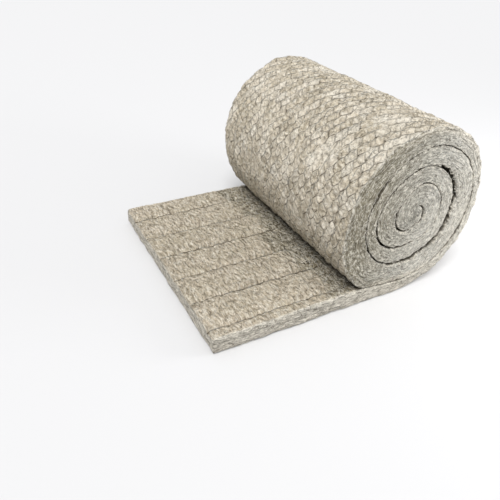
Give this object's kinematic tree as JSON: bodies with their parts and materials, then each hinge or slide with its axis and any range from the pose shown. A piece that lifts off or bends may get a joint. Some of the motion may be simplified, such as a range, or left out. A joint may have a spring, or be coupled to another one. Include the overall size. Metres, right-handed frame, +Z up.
{
  "type": "wired mineral wool insulation roll, partly unrolled",
  "caption": "Mineral wool mat stitched to wire netting, wound into a coil that rests on its own flat loose end.",
  "frame": {"origin": "on the floor, below the axis of the coil, halfway along it", "axes": "+X away from the loose end, +Y along the axis of the coil, +Z up"},
  "size_m": [0.7229, 0.6, 0.4407],
  "materials": {
    "stone_wool": "matt, fibrous, drawn in by rows of wire stitches",
    "galvanised_wire": "dull zinc on thin drawn wire"
  },
  "bodies": {
    "root": {"stone_wool_mat": "stone_wool"}
  },
  "joints": []
}
